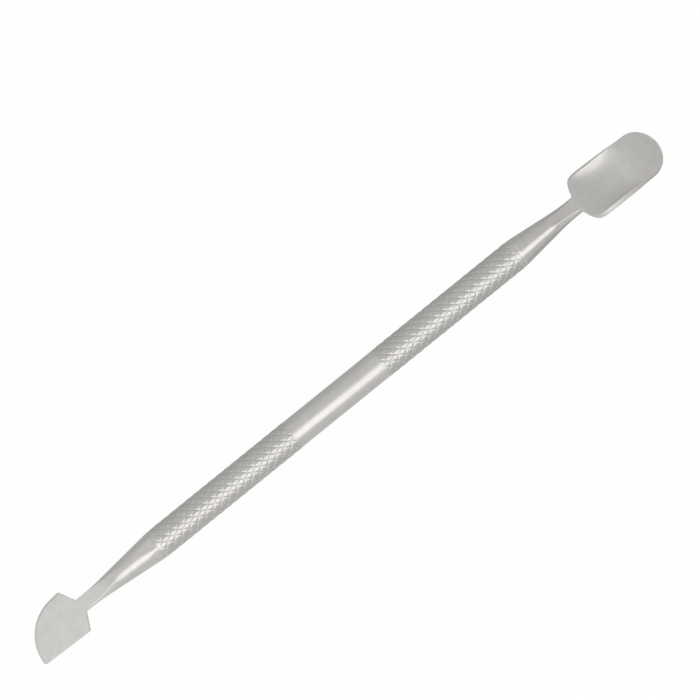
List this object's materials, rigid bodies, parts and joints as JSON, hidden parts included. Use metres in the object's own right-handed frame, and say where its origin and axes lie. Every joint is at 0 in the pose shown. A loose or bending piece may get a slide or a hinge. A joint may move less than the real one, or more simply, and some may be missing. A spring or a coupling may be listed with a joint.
{
  "type": "cuticle pusher",
  "caption": "Double-ended metal cuticle pusher with a knurled round handle, a dished spoon tip for pushing cuticles back and a flat quarter-round blade for scraping the nail.",
  "frame": {"origin": "on the handle's axis, halfway between the spoon's tip and the blade's tip", "axes": "+X along the tool towards the spoon's tip, +Z square to the blade's flat and out of the spoon's hollow, +Y completes the frame and points to the corner where the blade's curved edge starts"},
  "size_m": [0.1398, 0.0098, 0.0056],
  "materials": {
    "handle_steel": "satin stainless steel, tumbled after knurling",
    "spoon_steel": "satin stainless steel, forged and tumbled",
    "blade_steel": "fine matt stainless steel with a ground edge",
    "silver_braze": "dull silver braze"
  },
  "bodies": {
    "root": {"handle_tube": "handle_steel", "spoon_tip": "spoon_steel", "blade_tip": "blade_steel", "spoon_braze_ring": "silver_braze", "blade_braze_ring": "silver_braze"}
  },
  "joints": []
}
